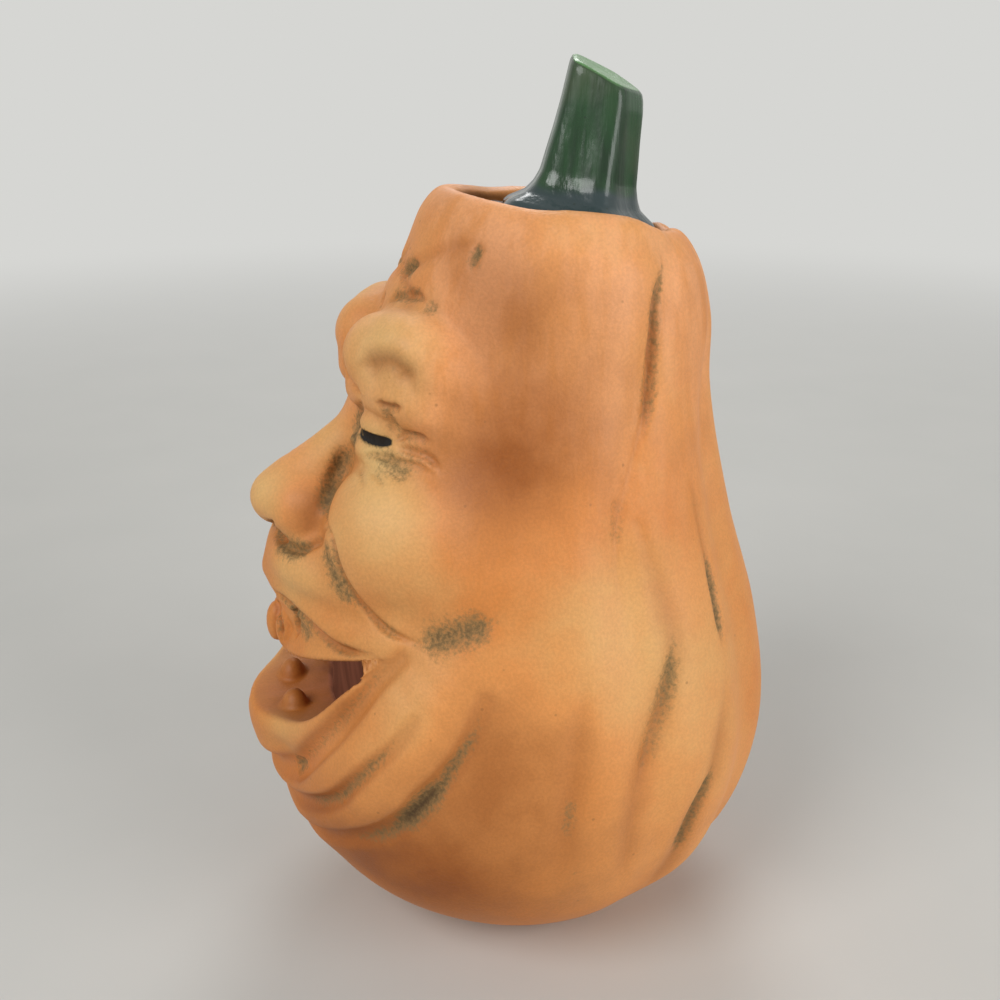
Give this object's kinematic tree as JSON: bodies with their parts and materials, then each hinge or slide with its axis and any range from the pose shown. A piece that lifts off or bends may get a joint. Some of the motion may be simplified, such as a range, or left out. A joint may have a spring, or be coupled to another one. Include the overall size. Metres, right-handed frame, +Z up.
{
  "type": "jack-o-lantern candle holder",
  "caption": "Hollow clay gourd pumpkin with a laughing face and open mouth, a lift-off glazed stem lid, and a tealight inside.",
  "frame": {"origin": "on the flat foot that it stands on, straight below the middle of the tealight", "axes": "+Z up; the face looks along -Y; +X is the pumpkin's own left side"},
  "size_m": [0.1146, 0.1289, 0.206],
  "materials": {
    "terracotta": "unglazed fired clay, satin orange with dark wash in the creases",
    "green_glaze": "glossy dark green glaze",
    "foil": "thin pressed foil",
    "wax": "off-white paraffin wax",
    "tinplate": "thin stamped plate",
    "cotton": "waxed braided cotton"
  },
  "bodies": {
    "pumpkin": {"pumpkin_shell": "terracotta", "pumpkin_foot": "terracotta"},
    "lid": {"stem_lid": "green_glaze"},
    "tealight": {"tealight_cup": "foil"},
    "candle": {"tealight_wax": "wax", "wick_sustainer": "tinplate", "tealight_wick": "cotton"}
  },
  "joints": [
    {"name": "lid_lift", "type": "slide", "parent": "pumpkin", "child": "lid", "axis": [0, 0.1822, 0.9833], "range_m": [0, 0.05]},
    {"name": "tealight_lift", "type": "slide", "parent": "pumpkin", "child": "tealight", "axis": [0, 0, 1], "range_m": [0, 0.09]},
    {"name": "wax_lift", "type": "slide", "parent": "tealight", "child": "candle", "axis": [0, 0, 1], "range_m": [0, 0.018]}
  ]
}
